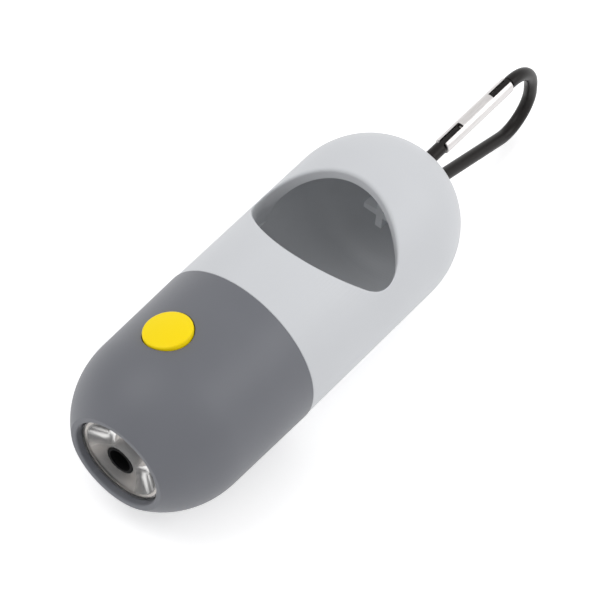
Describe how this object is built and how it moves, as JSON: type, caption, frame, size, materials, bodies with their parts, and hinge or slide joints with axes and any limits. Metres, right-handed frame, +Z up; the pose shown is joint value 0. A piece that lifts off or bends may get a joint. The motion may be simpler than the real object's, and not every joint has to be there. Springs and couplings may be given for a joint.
{
  "type": "dog waste bag dispenser",
  "caption": "Capsule-shaped waste bag dispenser with a torch in one end, a window for pulling bags, a screw-apart body and a carabiner clip.",
  "frame": {"origin": "centre of the bounding box on the plane it rests on", "axes": "+X along the capsule from the torch face to the carabiner, +Z up through the middle of the window, +Y across"},
  "size_m": [0.1608, 0.044, 0.0448],
  "materials": {
    "shell_dark": "soft-touch dark grey ABS, very fine grain",
    "shell_light": "soft-touch light grey ABS, very fine grain",
    "liner": "moulded mid grey polypropylene",
    "button_yellow": "yellow silicone-soft button",
    "lens_clear": "clear polished acrylic",
    "reflector_chrome": "vacuum metallised plastic",
    "black_plastic": "black moulded plastic",
    "rubber_black": "black rubber seal",
    "led_body": "white base with yellow phosphor dome",
    "board": "green glass-fibre circuit board",
    "contact_metal": "nickel-plated spring steel",
    "cell_steel": "satin steel cell can",
    "screw_steel": "zinc-plated steel screw",
    "switch_white": "white moulded plunger",
    "wire_sheath": "insulated lead wire",
    "frame_black": "black anodised aluminium rod",
    "gate_metal": "bright turned aluminium",
    "pin_steel": "steel pin"
  },
  "bodies": {
    "bag_half": {"bag_shell": "shell_light", "inner_sleeve": "shell_light", "roll_spindle": "shell_light"},
    "neck_ring": {"neck_seal": "rubber_black"},
    "torch_half": {"torch_shell": "shell_dark", "lens": "lens_clear", "lens_seal": "rubber_black", "reflector": "reflector_chrome", "led_shroud": "black_plastic", "led": "led_body", "led_board": "board", "battery_tray": "liner", "front_contact": "contact_metal", "battery_spring": "contact_metal", "button_cells": "cell_steel", "rear_contact": "contact_metal", "switch_board": "board", "switch_body": "black_plastic", "lead_wires": "wire_sheath", "neck_collar": "liner", "battery_cover": "liner", "cover_screws": "screw_steel", "tray_screws": "screw_steel"},
    "button_group": {"button": "button_yellow", "switch_plunger": "switch_white"},
    "carabiner": {"carabiner_frame": "frame_black", "hinge_pin": "pin_steel"},
    "gate_group": {"gate": "gate_metal", "latch_pin": "pin_steel", "gate_spring": "contact_metal"}
  },
  "joints": [
    {"name": "unscrew_slide", "type": "slide", "parent": "bag_half", "child": "neck_ring", "axis": [-1, 0, 0], "range_m": [0, 0.0106]},
    {"name": "unscrew_turn", "type": "hinge", "parent": "neck_ring", "child": "torch_half", "pos_m": [0, 0, 0.022], "axis": [-1, 0, 0], "range_deg": [0, 630]},
    {"name": "button_press", "type": "slide", "parent": "torch_half", "child": "button_group", "axis": [0, -0.2723, -0.9622], "range_m": [0, 0.001], "stiffness_N_per_m": 300, "springref_m": -0.003},
    {"name": "carabiner_swing", "type": "hinge", "parent": "bag_half", "child": "carabiner", "pos_m": [0.0308, 0, 0.0211], "axis": [0, 1, 0], "range_deg": [-25, 25]},
    {"name": "gate_open", "type": "hinge", "parent": "carabiner", "child": "gate_group", "pos_m": [0.0434, 0, 0.0258], "axis": [0, 1, 0], "range_deg": [0, 28], "stiffness_Nm_per_rad": 0.01, "springref_deg": -17.19}
  ],
  "couplings": [
    {"joint": "unscrew_slide", "follows": "unscrew_turn", "m_per_rad": 0.00095493}
  ]
}
